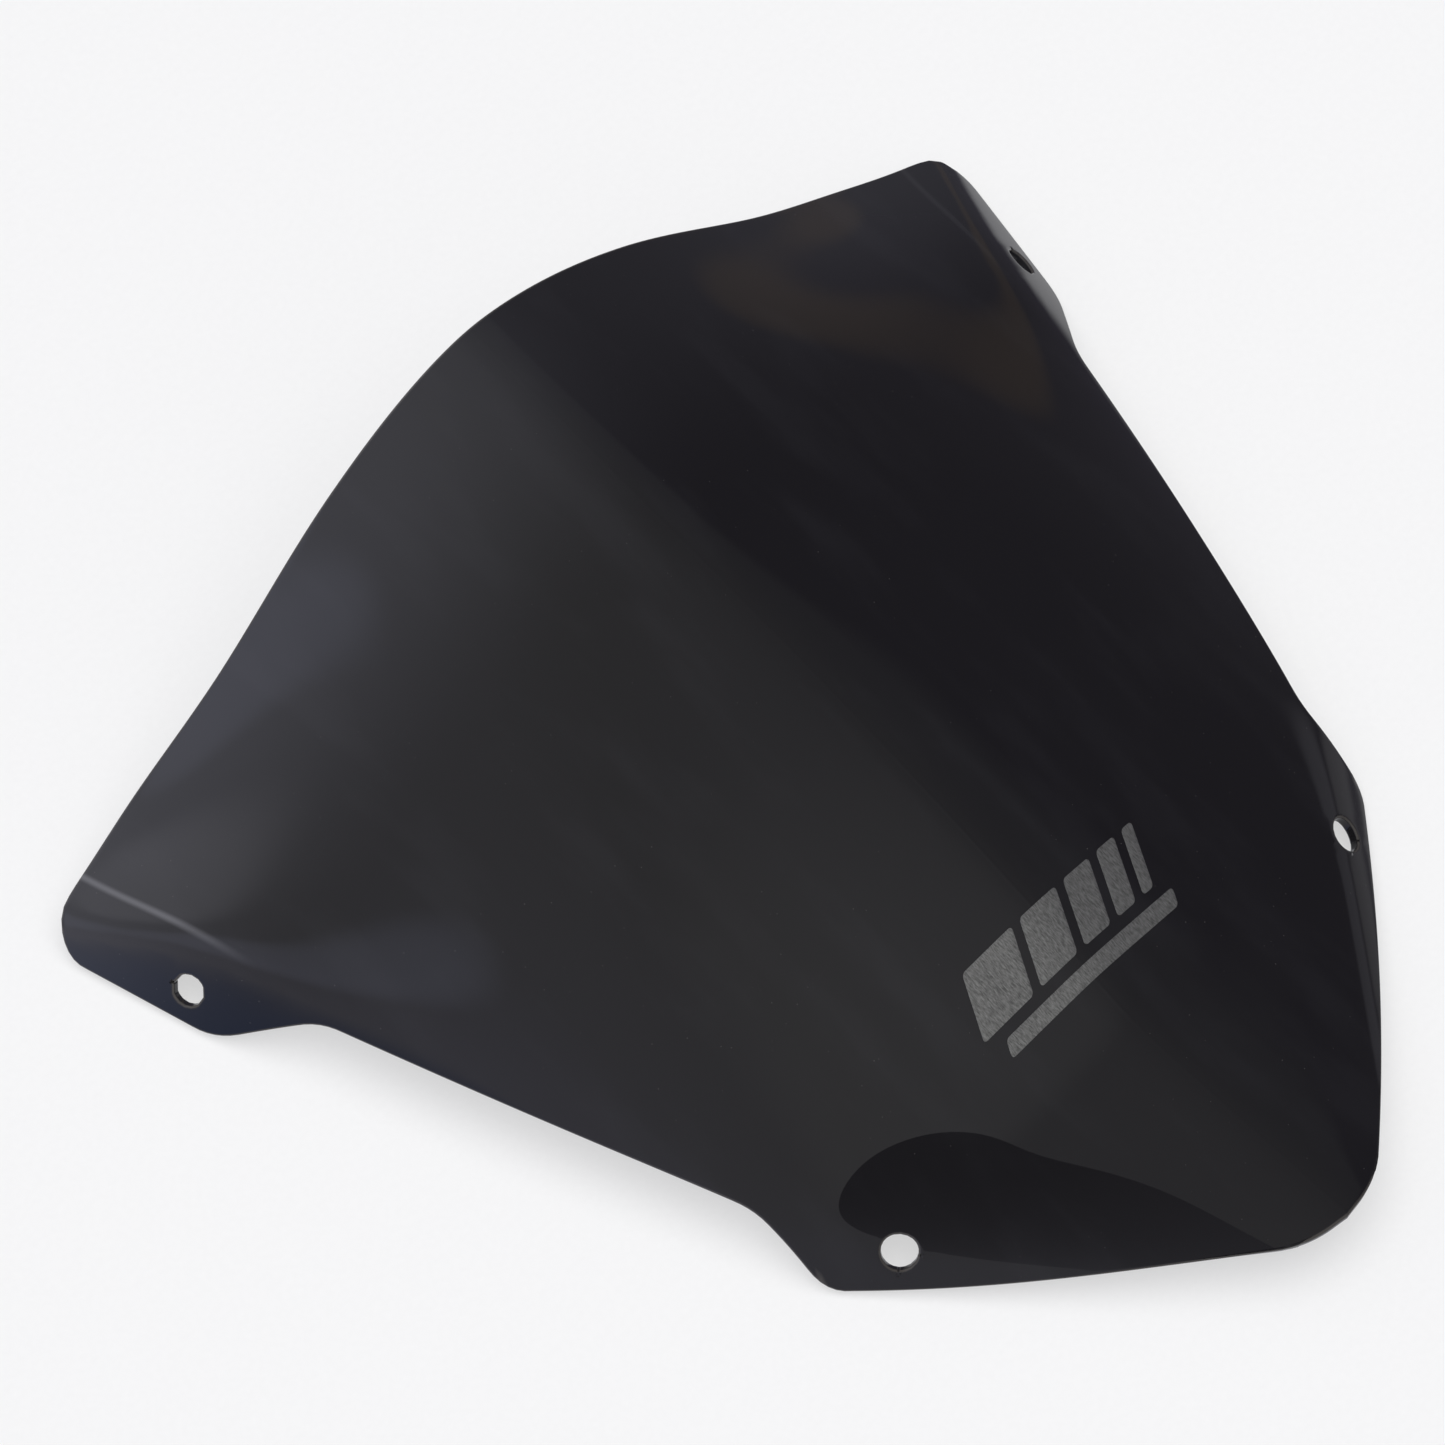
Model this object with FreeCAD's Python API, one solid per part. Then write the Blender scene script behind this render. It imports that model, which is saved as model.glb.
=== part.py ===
"""Windshield screen of a sport motorcycle: one formed acrylic sheet with a foil mark on its outside.

Units are millimetres.  +X is the rider's right hand side, -Y is the nose (front), +Z is up.
The screen stands on its four fixing lugs, and the origin is at the bottom centre of its box.
"""
import FreeCAD
import Part

import math
import os

Vector = FreeCAD.Vector
UP = Vector(0, 0, 1)

# ---- Sheet ----------------------------------------------------------------------------------
SHEET_THICKNESS = 3.0
FRONT_HOLE_DIAMETER = 10.0
REAR_HOLE_DIAMETER = 9.0
FRONT_HOLE_PLACE = (88.1, -84.2)
REAR_HOLE_PLACE = (163.6, 106.0)

# ---- Outside surface: heights over the stations from nose (-) to tail (+) --------------------
HALF_LENGTH = 160.0
NOSE_SPINE_HEIGHTS = (28.2, 11.5)             # powers of station / HALF_LENGTH: the flat nose
REAR_SPINE_HEIGHTS = (55.2, 49.0, -20.1, 9.2) # the same, behind the kick-up
KICK_UP_SOFTNESS = 2.2
SIDE_HEIGHTS = (17.6, 4.1, -4.8)              # the same, along the side of the screen
TAIL_DROP = 7.7                               # how much lower the side falls at the tail
TAIL_DROP_START = 100.0
HALF_WIDTH_AT_MIDDLE = 125.3
HALF_WIDTH_GROWTH = 0.332                     # half width gained per millimetre towards the tail
NOSE_SECTION_POWER = 3.5                      # flat on top, turned down at the side
TAIL_BELL_POWER = 1.1                         # bell shaped: turned down, then flared out again
WIDEST_PART = 1.3                             # the section is level beyond this part of its width
CREASE_SLOPE = 0.096                          # slope of each side of the centre crease
CREASE_RADIUS = 8.0

# ---- Lugs: flat planes that fold down from the surface ---------------------------------------
FRONT_LUG_HEIGHT = 13.7                       # height of the plane over its hole
FRONT_LUG_SLOPES = (-1.206, 0.992)            # across (X) and along (Y)
FRONT_FOLD_SOFTNESS = 5.0
REAR_LUG_HEIGHT = 8.8
REAR_LUG_SLOPES = (-1.383, 0.349)
REAR_FOLD_SOFTNESS = 3.0

# ---- Outline seen from above: right half, nose to tail ---------------------------------------
NOSE_CENTRE = (0.0, -162.8)
NOSE_CORNER = (13.7, -161.0)
FRONT_LUG_CORNER = (106.5, -74.8)
FRONT_FLARE_CORNER = (107.9, -49.7)
REAR_FLARE_CORNER = (148.5, 70.9)
REAR_LUG_CORNER = (166.3, 93.5)
TAIL_CORNER = (179.1, 146.7)
TAIL_EDGE = ((140.0, 153.3), (100.0, 154.8), (55.0, 158.8), (0.0, 161.4))
FRONT_EDGE_BULGE = 2.9
SIDE_EDGE_BULGE = 1.1
CORNER_RADII = {
    NOSE_CORNER: 33.0,
    FRONT_LUG_CORNER: 15.9,
    FRONT_FLARE_CORNER: 32.9,
    REAR_FLARE_CORNER: 29.2,
    REAR_LUG_CORNER: 29.9,
    TAIL_CORNER: 11.8,
}

# ---- Foil mark: slanted bars over one long strip ---------------------------------------------
FOIL_THICKNESS = 0.15
FOIL_CORNER_RADIUS = 1.2
FOIL_SLANT = 0.5                              # sideways lean per millimetre of height
BAR_WIDTHS = (19.0, 14.0, 10.0, 7.0, 4.0)
BAR_GAP = 3.0
BAR_BOTTOM = -64.0
BAR_HEIGHT = 16.0
BARS_LEFT_END = -35.0
STRIP_BOTTOM = -71.5
STRIP_HEIGHT = 4.5
STRIP_WIDTH = 65.0
STRIP_LEFT_END = -32.0

# ---- Modelling limits ------------------------------------------------------------------------
GRID_HALF_WIDTH = 195.0
GRID_HALF_LENGTH = 180.0
GRID_STEP = 5.0
CREASE_STATIONS = (2.0, 4.0, 6.5, 9.0, 12.5)
FIRST_EVEN_COLUMN = 3                         # the first grid column beyond the crease stations
TRIM_BOTTOM = -60.0
TRIM_HEIGHT = 220.0
OFFSET_TOLERANCE = 0.001


def ease(part):
    """Smooth step from 0 to 1 with no jump in curvature."""
    part = min(max(part, 0.0), 1.0)
    return part ** 3 * (10.0 - 15.0 * part + 6.0 * part ** 2)


def polynomial(factors, value):
    """Sum of the factors times the rising powers of the value."""
    return sum(factor * value ** power for power, factor in enumerate(factors))


def soft_minimum(first, second, softness):
    """The lower of two heights, with a rounded change from one to the other."""
    low = min(first, second)
    return low - softness * math.log(
        math.exp((low - first) / softness) + math.exp((low - second) / softness))


def spine_height(station):
    """Height of the centre line: a flat nose that kicks up into the long rise to the tail."""
    nose = polynomial(NOSE_SPINE_HEIGHTS, station / HALF_LENGTH)
    rear = polynomial(REAR_SPINE_HEIGHTS, station / HALF_LENGTH)
    return -soft_minimum(-nose, -rear, KICK_UP_SOFTNESS)


def crease_fall(across):
    """How far the surface has fallen from a sharp ridge at the centre line."""
    return CREASE_SLOPE * (math.hypot(across, CREASE_RADIUS) - CREASE_RADIUS)


def lug_plane(place, height, slopes, across, station):
    """Height of a lug's plane, given its height over its hole."""
    return height + slopes[0] * (across - place[0]) + slopes[1] * (station - place[1])


def outside_height(x, station):
    """Height of the outside surface."""
    across = abs(x)
    half_width = HALF_WIDTH_AT_MIDDLE + HALF_WIDTH_GROWTH * station
    spine = spine_height(station)
    tail_part = (station - TAIL_DROP_START) / (HALF_LENGTH - TAIL_DROP_START)
    side = polynomial(SIDE_HEIGHTS, station / HALF_LENGTH) - TAIL_DROP * ease(tail_part)
    part = min(across / half_width, WIDEST_PART)
    bell = (1.0 - math.cos(math.pi * min(part, 1.0) ** TAIL_BELL_POWER)) / 2.0
    flare = ease(station / HALF_LENGTH)
    section = (1.0 - flare) * part ** NOSE_SECTION_POWER + flare * bell
    fall = (spine - side - crease_fall(half_width)) * section
    body = spine - crease_fall(across) - fall
    front_lug = lug_plane(FRONT_HOLE_PLACE, FRONT_LUG_HEIGHT, FRONT_LUG_SLOPES, across, station)
    rear_lug = lug_plane(REAR_HOLE_PLACE, REAR_LUG_HEIGHT, REAR_LUG_SLOPES, across, station)
    folded = soft_minimum(body, front_lug, FRONT_FOLD_SOFTNESS)
    return soft_minimum(folded, rear_lug, REAR_FOLD_SOFTNESS)


def stations_across():
    """Places across the grid: an even spacing, closer together at the crease."""
    columns = int(GRID_HALF_WIDTH / GRID_STEP)
    even = [column * GRID_STEP for column in range(FIRST_EVEN_COLUMN, columns + 1)]
    right = list(CREASE_STATIONS) + even
    return [-place for place in reversed(right)] + [0.0] + right


def outside_surface():
    """Smooth surface through the heights of the whole grid."""
    rows = int(2 * GRID_HALF_LENGTH / GRID_STEP) + 1
    stations = [-GRID_HALF_LENGTH + GRID_STEP * row for row in range(rows)]
    grid = [[Vector(x, station, outside_height(x, station)) for station in stations]
            for x in stations_across()]
    surface = Part.BSplineSurface()
    surface.interpolate(grid)
    return surface


def on_plan(place, side=1):
    """Point of the outline on the right (1) or left (-1) half."""
    return Vector(side * place[0], place[1], TRIM_BOTTOM)


def bulged_edge(start, end, bulge):
    """Arc from start to end that stands out from the straight line by the bulge."""
    along = end - start
    outward = along.cross(UP).normalize()
    middle = (start + end) / 2 + outward * bulge
    return Part.Arc(start, middle, end).toShape()


def half_outline(side):
    """Edges of one half of the outline, nose to tail, before its corners are rounded."""
    corners = [on_plan(place, side) for place in (NOSE_CENTRE, *CORNER_RADII)]
    nose, nose_corner, front_lug, front_flare, rear_flare, rear_lug, tail = corners
    return [
        Part.makeLine(nose, nose_corner),
        bulged_edge(nose_corner, front_lug, side * FRONT_EDGE_BULGE),
        Part.makeLine(front_lug, front_flare),
        bulged_edge(front_flare, rear_flare, side * SIDE_EDGE_BULGE),
        Part.makeLine(rear_flare, rear_lug),
        Part.makeLine(rear_lug, tail),
    ]


def tail_edge():
    """Rear edge from the right tail corner to the left one."""
    right = [on_plan(TAIL_CORNER)] + [on_plan(place) for place in TAIL_EDGE]
    left = [Vector(-point.x, point.y, point.z) for point in reversed(right[:-1])]
    curve = Part.BSplineCurve()
    curve.interpolate(right + left)
    return curve.toShape()


def upright_prism(edges, rounding):
    """Prism over closed plan edges, with its upright edges rounded by rounding(edge)."""
    base = Part.Face(Part.Wire(Part.__sortEdges__(edges)))
    prism = base.extrude(UP * TRIM_HEIGHT)
    for radius in sorted({rounding(edge) for edge in prism.Edges} - {0.0}, reverse=True):
        chosen = [edge for edge in prism.Edges if rounding(edge) == radius]
        prism = prism.makeFillet(radius, chosen)
    return prism


def is_upright(edge):
    """Whether a straight edge runs the full height of a prism."""
    rise = edge.valueAt(edge.LastParameter) - edge.valueAt(edge.FirstParameter)
    return abs(abs(rise.z) - TRIM_HEIGHT) < 0.01


def outline_radius(edge):
    """Rounding of an upright edge of the screen's prism."""
    if not is_upright(edge):
        return 0.0
    foot = edge.valueAt(edge.FirstParameter)
    for place, radius in CORNER_RADII.items():
        if math.hypot(abs(foot.x) - place[0], foot.y - place[1]) < 0.01:
            return radius
    return 0.0


def foil_radius(edge):
    """Rounding of an upright edge of a foil piece's prism."""
    return FOIL_CORNER_RADIUS if is_upright(edge) else 0.0


def trimmed(surface, prism):
    """The one face of the surface that lies inside the prism."""
    return surface.toShape().common(prism).Faces[0]


def thickened(face, thickness):
    """Solid between the face and its copy moved up (+) or down (-) along its normal."""
    middle = face.Surface.parameter(face.CenterOfMass)
    facing = 1 if face.normalAt(*middle).z > 0 else -1
    return face.makeOffsetShape(facing * thickness, OFFSET_TOLERANCE, fill=True)


def bore(surface, place, side, diameter):
    """Cylinder along the surface's normal, right through the sheet."""
    centre = Vector(side * place[0], place[1], outside_height(*place))
    normal = surface.normal(*surface.parameter(centre))
    outward = normal if normal.z > 0 else -normal
    reach = 4 * SHEET_THICKNESS
    return Part.makeCylinder(diameter / 2, 2 * reach, centre - outward * reach, outward)


def bores(surface):
    """The four fixing holes, named as their mounts are."""
    kinds = {"front": (FRONT_HOLE_PLACE, FRONT_HOLE_DIAMETER),
             "rear": (REAR_HOLE_PLACE, REAR_HOLE_DIAMETER)}
    return {f"{end}_{hand}": bore(surface, place, side, diameter)
            for end, (place, diameter) in kinds.items()
            for hand, side in (("left", -1), ("right", 1))}


def make_screen(surface):
    """The formed sheet, trimmed to its outline and drilled."""
    outline = half_outline(1) + [tail_edge()] + half_outline(-1)
    sheet = thickened(trimmed(surface, upright_prism(outline, outline_radius)), -SHEET_THICKNESS)
    for cylinder in bores(surface).values():
        sheet = sheet.cut(cylinder)
    return sheet.Solids[0]


def slanted_patch(surface, left, bottom, width, height):
    """Foil piece on the outside of the sheet: a leaning bar with rounded corners."""
    lean = FOIL_SLANT * height
    corners = [Vector(left, bottom, TRIM_BOTTOM),
               Vector(left + width, bottom, TRIM_BOTTOM),
               Vector(left + width + lean, bottom + height, TRIM_BOTTOM),
               Vector(left + lean, bottom + height, TRIM_BOTTOM)]
    sides = [Part.makeLine(start, end) for start, end in zip(corners, corners[1:] + corners[:1])]
    return thickened(trimmed(surface, upright_prism(sides, foil_radius)), FOIL_THICKNESS)


def make_foil(surface):
    """The mark's pieces by node name."""
    pieces = {}
    left = BARS_LEFT_END
    for number, width in enumerate(BAR_WIDTHS, start=1):
        pieces[f"foil_bar_{number}"] = slanted_patch(surface, left, BAR_BOTTOM, width, BAR_HEIGHT)
        left += width + BAR_GAP
    pieces["foil_strip"] = slanted_patch(
        surface, STRIP_LEFT_END, STRIP_BOTTOM, STRIP_WIDTH, STRIP_HEIGHT)
    return pieces


def main():
    """Make every piece, stand the screen on its lugs and write one STEP file per node."""
    surface = outside_surface()
    pieces = {"screen": make_screen(surface), **make_foil(surface)}
    box = pieces["screen"].optimalBoundingBox()
    to_origin = Vector(-box.Center.x, -box.Center.y, -box.ZMin)
    print("moved by", to_origin, "size", box.XLength, box.YLength, box.ZLength)
    for name, cylinder in bores(surface).items():
        axis = cylinder.Faces[0].Surface.Axis
        middle = cylinder.CenterOfMass + to_origin - axis * SHEET_THICKNESS / 2
        print("hole", name, [round(value, 3) for value in middle], [round(value, 5) for value in axis])
    os.makedirs("parts", exist_ok=True)
    for name, piece in pieces.items():
        piece.translate(to_origin)
        piece.exportStep(f"parts/{name}.step")
        print(name, piece.ShapeType, piece.isValid(), round(piece.Volume, 2))


main()
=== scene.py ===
"""Smoked acrylic windshield screen of a sport motorcycle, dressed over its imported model.

The sheet and the foil mark are rebuilt as clean meshes on the formed surface that the model has.
"""
import logging
import math
from dataclasses import dataclass
from enum import Enum

import bmesh
import bpy
from mathutils import Matrix, Vector


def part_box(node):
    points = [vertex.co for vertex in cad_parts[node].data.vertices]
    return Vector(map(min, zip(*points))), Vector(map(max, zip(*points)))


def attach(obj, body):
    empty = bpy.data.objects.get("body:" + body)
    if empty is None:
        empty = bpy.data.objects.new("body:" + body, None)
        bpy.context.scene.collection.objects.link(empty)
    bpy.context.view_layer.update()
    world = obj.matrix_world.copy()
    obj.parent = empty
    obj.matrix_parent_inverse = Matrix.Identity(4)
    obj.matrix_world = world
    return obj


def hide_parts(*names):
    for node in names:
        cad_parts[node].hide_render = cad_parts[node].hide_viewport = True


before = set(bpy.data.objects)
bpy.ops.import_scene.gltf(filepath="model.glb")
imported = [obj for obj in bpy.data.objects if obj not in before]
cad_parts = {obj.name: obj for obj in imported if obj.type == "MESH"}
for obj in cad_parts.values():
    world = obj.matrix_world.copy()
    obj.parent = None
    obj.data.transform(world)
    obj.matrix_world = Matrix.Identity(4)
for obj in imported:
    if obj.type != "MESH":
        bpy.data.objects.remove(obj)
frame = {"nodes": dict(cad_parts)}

LOG = logging.getLogger("screen")
MM = 0.001


class Slot(Enum):
    """Material slots."""

    ACRYLIC = "smoked_acrylic"
    FOIL = "silver_foil"


class Side(Enum):
    """Hands of the screen, as the sign of X."""

    LEFT = -1
    RIGHT = 1


# ---- Small helpers ---------------------------------------------------------------------------

def linear(hex_code: str) -> tuple[float, float, float, float]:
    """Turn an sRGB hex colour into a linear one.

    Args:
        hex_code: six hex digits, such as "1A1B1E".

    Returns:
        Linear red, green, blue and an alpha of 1.
    """
    shares = [int(hex_code[start:start + 2], 16) / 255 for start in (0, 2, 4)]
    values = [share / 12.92 if share <= 0.04045 else ((share + 0.055) / 1.055) ** 2.4
              for share in shares]
    return (values[0], values[1], values[2], 1.0)


def add_node(tree: bpy.types.NodeTree, kind: str, settings: dict | None = None,
             inputs: dict | None = None) -> bpy.types.Node:
    """Add a node with its settings, values and links.

    Args:
        tree: the node tree that takes the node.
        kind: the node's type name.
        settings: properties of the node.
        inputs: a value, or another node's output socket, for each input by name or number.

    Returns:
        The new node.
    """
    node = tree.nodes.new(kind)
    for name, value in (settings or {}).items():
        setattr(node, name, value)
    for name, value in (inputs or {}).items():
        if isinstance(value, bpy.types.NodeSocket):
            tree.links.new(value, node.inputs[name])
        else:
            node.inputs[name].default_value = value
    return node


def fade(tree: bpy.types.NodeTree, value: bpy.types.NodeSocket, ends: tuple,
         levels: tuple = (0.0, 1.0), smooth: bool = True) -> bpy.types.NodeSocket:
    """Map a value between two ends to a share between two levels, held beyond them.

    Args:
        tree: the node tree that takes the node.
        value: what is mapped.
        ends: the values at which the first and the second level are reached.
        levels: the two levels, as numbers or sockets.
        smooth: whether it eases in and out.

    Returns:
        The mapped value.
    """
    kind = "SMOOTHSTEP" if smooth else "LINEAR"
    return add_node(tree, "ShaderNodeMapRange", {"interpolation_type": kind}, {
        "Value": value, "From Min": ends[0], "From Max": ends[1], "To Min": levels[0],
        "To Max": levels[1]}).outputs["Result"]


def arithmetic(tree: bpy.types.NodeTree, operation: str, *values) -> bpy.types.NodeSocket:
    """Work out one sum or product of numbers and sockets, and give its result."""
    return add_node(tree, "ShaderNodeMath", {"operation": operation},
                    dict(enumerate(values))).outputs[0]


def mixed(tree: bpy.types.NodeTree, share: bpy.types.NodeSocket, first: object,
          second: object) -> bpy.types.NodeSocket:
    """Mix two colours: the share is how much of the second one shows."""
    return add_node(tree, "ShaderNodeMix", {"data_type": "RGBA"},
                    {0: share, 6: first, 7: second}).outputs[2]


def ease(share: float) -> float:
    """Smooth step from 0 to 1 with no jump in curvature."""
    share = min(max(share, 0.0), 1.0)
    return share ** 3 * (10.0 - 15.0 * share + 6.0 * share ** 2)


def polynomial(factors: tuple[float, ...], value: float) -> float:
    """Sum of the factors times the rising powers of the value."""
    return sum(factor * value ** power for power, factor in enumerate(factors))


def soft_minimum(first: float, second: float, softness: float) -> float:
    """The lower of two heights, rounded where they cross."""
    low = min(first, second)
    return low - softness * math.log(
        math.exp((low - first) / softness) + math.exp((low - second) / softness))


def finished_object(mesh_data: bmesh.types.BMesh, name: str,
                    material: bpy.types.Material) -> bpy.types.Object:
    """Put a finished bmesh in the scene as a smooth-shaded object at the origin.

    Args:
        mesh_data: the shape; it is freed here.
        name: name of the object and its mesh.
        material: the finish of all its faces.

    Returns:
        The new object.
    """
    mesh = bpy.data.meshes.new(name)
    mesh_data.to_mesh(mesh)
    mesh_data.free()
    mesh.polygons.foreach_set("use_smooth", [True] * len(mesh.polygons))
    mesh.materials.append(material)
    piece = bpy.data.objects.new(name, mesh)
    bpy.context.scene.collection.objects.link(piece)
    return piece


# ---- The formed surface ----------------------------------------------------------------------

@dataclass(frozen=True)
class Lug:
    """One pair of fixing lugs: a plane that folds down from the sheet, with a hole.

    Attributes:
        place: plan place of the right lug's hole, in mm.
        height: height of the plane over the hole, in mm.
        slopes: slope of the plane across and along the screen.
        softness: how gently the sheet folds into the plane, in mm.
        hole: diameter of the hole, in mm.
    """

    place: tuple[float, float]
    height: float
    slopes: tuple[float, float]
    softness: float
    hole: float

    def plane(self, across: float, station: float) -> float:
        """Height of the lug's plane, in mm."""
        return (self.height + self.slopes[0] * (across - self.place[0])
                + self.slopes[1] * (station - self.place[1]))


@dataclass(frozen=True)
class FormedSurface:
    """Outside surface of the sheet: heights over the plan, in mm, nose at -Y."""

    half_length: float = 160.0
    nose_spine: tuple[float, ...] = (28.2, 11.5)
    rear_spine: tuple[float, ...] = (55.2, 49.0, -20.1, 9.2)
    kick_up_softness: float = 2.2
    sides: tuple[float, ...] = (17.6, 4.1, -4.8)
    tail_drop: float = 7.7
    tail_drop_start: float = 100.0
    half_width: float = 125.3
    half_width_growth: float = 0.332
    nose_power: float = 3.5
    bell_power: float = 1.1
    widest_share: float = 1.3
    crease_slope: float = 0.096
    crease_radius: float = 8.0
    lugs: tuple[Lug, ...] = (
        Lug(place=(88.1, -84.2), height=13.7, slopes=(-1.206, 0.992), softness=5.0, hole=10.0),
        Lug(place=(163.6, 106.0), height=8.8, slopes=(-1.383, 0.349), softness=3.0, hole=9.0),
    )

    def spine(self, share: float) -> float:
        """Height of the centre line: a flat nose that kicks up into the long rise."""
        nose = polynomial(self.nose_spine, share)
        rear = polynomial(self.rear_spine, share)
        return -soft_minimum(-nose, -rear, self.kick_up_softness)

    def crease_fall(self, across: float) -> float:
        """Fall of the surface from a sharp ridge at the centre line."""
        return self.crease_slope * (math.hypot(across, self.crease_radius) - self.crease_radius)

    def height(self, x: float, station: float) -> float:
        """Height of the surface.

        Args:
            x: distance to the right of the centre line, in mm.
            station: distance behind the middle, in mm.

        Returns:
            Height in mm.
        """
        across = abs(x)
        share = station / self.half_length
        half_width = self.half_width + self.half_width_growth * station
        spine = self.spine(share)
        tail_share = (station - self.tail_drop_start) / (self.half_length - self.tail_drop_start)
        side = polynomial(self.sides, share) - self.tail_drop * ease(tail_share)
        part = min(across / half_width, self.widest_share)
        bell = (1.0 - math.cos(math.pi * min(part, 1.0) ** self.bell_power)) / 2.0
        flare = ease(share)
        section = (1.0 - flare) * part ** self.nose_power + flare * bell
        fall = (spine - side - self.crease_fall(half_width)) * section
        height = spine - self.crease_fall(across) - fall
        for lug in self.lugs:
            height = soft_minimum(height, lug.plane(across, station), lug.softness)
        return height

    def point(self, x: float, station: float) -> Vector:
        """Point of the surface, in mm."""
        return Vector((x, station, self.height(x, station)))

    def normal(self, x: float, station: float) -> Vector:
        """Outward direction of the surface at a plan place."""
        step = 0.05
        across = (self.height(x + step, station) - self.height(x - step, station)) / (2 * step)
        along = (self.height(x, station + step) - self.height(x, station - step)) / (2 * step)
        return Vector((-across, -along, 1.0)).normalized()


# ---- The trimmed outline ---------------------------------------------------------------------

@dataclass(frozen=True)
class Corner:
    """Corner of the outline's right half, in plan, with its rounding, all in mm."""

    x: float
    y: float
    radius: float

    @property
    def place(self) -> Vector:
        """The corner's place as a vector."""
        return Vector((self.x, self.y))


@dataclass(frozen=True)
class Outline:
    """Right half of the sheet's outline from above, nose to tail, in mm."""

    nose_centre: tuple[float, float] = (0.0, -162.8)
    nose: Corner = Corner(13.7, -161.0, 33.0)
    front_lug: Corner = Corner(106.5, -74.8, 15.9)
    front_flare: Corner = Corner(107.9, -49.7, 32.9)
    rear_flare: Corner = Corner(148.5, 70.9, 29.2)
    rear_lug: Corner = Corner(166.3, 93.5, 29.9)
    tail: Corner = Corner(179.1, 146.7, 11.8)
    tail_edge: tuple[tuple[float, float], ...] = (
        (140.0, 153.3), (100.0, 154.8), (55.0, 158.8), (0.0, 161.4))
    front_bulge: float = 2.9
    side_bulge: float = 1.1
    spacing: float = 0.5

    def run(self, start: Vector, end: Vector, bulge: float = 0.0) -> list[Vector]:
        """Evenly spaced points on a shallow arc.

        Args:
            start: first point.
            end: last point.
            bulge: how far the arc stands out to the right of the straight line.

        Returns:
            The points, both ends included.
        """
        along = end - start
        outward = Vector((along.y, -along.x)).normalized()
        count = max(2, round(along.length / self.spacing))
        shares = [step / count for step in range(count + 1)]
        return [start + along * share + outward * 4 * bulge * share * (1 - share)
                for share in shares]

    def tail_run(self) -> list[Vector]:
        """Points of the rear edge, from the tail corner to the centre line."""
        knots = [self.tail.place] + [Vector(place) for place in self.tail_edge]
        before = knots[0] * 2 - knots[1]
        after = Vector((-knots[-2].x, knots[-2].y))
        knots = [before] + knots + [after]
        points = []
        for first, start, end, last in zip(knots, knots[1:], knots[2:], knots[3:]):
            pieces = round((end - start).length / self.spacing)
            start_way = (end - first) / 2
            end_way = (last - start) / 2
            for step in range(pieces):
                share = step / pieces
                points.append(start * (2 * share ** 3 - 3 * share ** 2 + 1)
                              + start_way * (share ** 3 - 2 * share ** 2 + share)
                              + end * (3 * share ** 2 - 2 * share ** 3)
                              + end_way * (share ** 3 - share ** 2))
        return points + [knots[-2]]

    def rounding(self, before: list[Vector], after: list[Vector],
                 radius: float) -> tuple[list[Vector], list[Vector], list[Vector]]:
        """Round the corner between two runs.

        Args:
            before: run that ends at the corner.
            after: run that starts at the corner.
            radius: radius of the rounding.

        Returns:
            The shortened first run, the arc's points and the shortened second run.
        """
        corner = after[0]
        back = (before[-2] - corner).normalized()
        ahead = (after[1] - corner).normalized()
        half_angle = back.angle(ahead) / 2
        reach = radius / math.tan(half_angle)
        centre = corner + (back + ahead).normalized() * radius / math.sin(half_angle)
        kept_before = [point for point in before if (point - corner).length > reach]
        kept_after = [point for point in after if (point - corner).length > reach]
        first = corner + back * reach - centre
        turn = first.angle_signed(corner + ahead * reach - centre)
        count = max(3, round(abs(turn) * radius / self.spacing))
        arc = []
        for step in range(count + 1):
            angle = -turn * step / count
            arc.append(centre + Matrix.Rotation(angle, 2) @ first)
        return kept_before, arc, kept_after

    def half(self) -> tuple[list[Vector], list[Vector], list[Vector]]:
        """The half outline as the nose edge, the side edge and the tail edge.

        Returns:
            Points of each edge in order, split at the middle of the nose and tail roundings.
        """
        corners = [self.nose, self.front_lug, self.front_flare, self.rear_flare, self.rear_lug,
                   self.tail]
        bulges = [self.front_bulge, 0.0, self.side_bulge, 0.0, 0.0]
        runs = [self.run(Vector(self.nose_centre), self.nose.place)]
        for start, end, bulge in zip(corners, corners[1:], bulges):
            runs.append(self.run(start.place, end.place, bulge))
        runs.append(self.tail_run())
        edges: list[list[Vector]] = []
        current = runs[0]
        path: list[Vector] = []
        for corner, following in zip(corners, runs[1:]):
            kept, arc, current = self.rounding(current, following, corner.radius)
            path += kept
            if corner in (self.nose, self.tail):
                middle = len(arc) // 2
                edges.append(path + arc[:middle + 1])
                path = arc[middle:]
            else:
                path += arc
        edges.append(path + current)
        return edges[0], edges[1], edges[2]


class Path2D:
    """Points of a plan edge, read by the share of its length."""

    def __init__(self, points: list[Vector]) -> None:
        """Keep the points and their distances along the edge."""
        self.points = points
        self.distances = [0.0]
        for start, end in zip(points, points[1:]):
            self.distances.append(self.distances[-1] + (end - start).length)

    def at(self, share: float) -> Vector:
        """Point at a share of the edge's length.

        Args:
            share: 0 at the start, 1 at the end.

        Returns:
            Plan place in mm.
        """
        wanted = min(max(share, 0.0), 1.0) * self.distances[-1]
        low, high = 0, len(self.distances) - 1
        while high - low > 1:
            middle = (low + high) // 2
            if self.distances[middle] <= wanted:
                low = middle
            else:
                high = middle
        span = self.distances[high] - self.distances[low]
        part = (wanted - self.distances[low]) / span if span else 0.0
        return self.points[low].lerp(self.points[high], part)


# ---- Finishes --------------------------------------------------------------------------------

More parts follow.
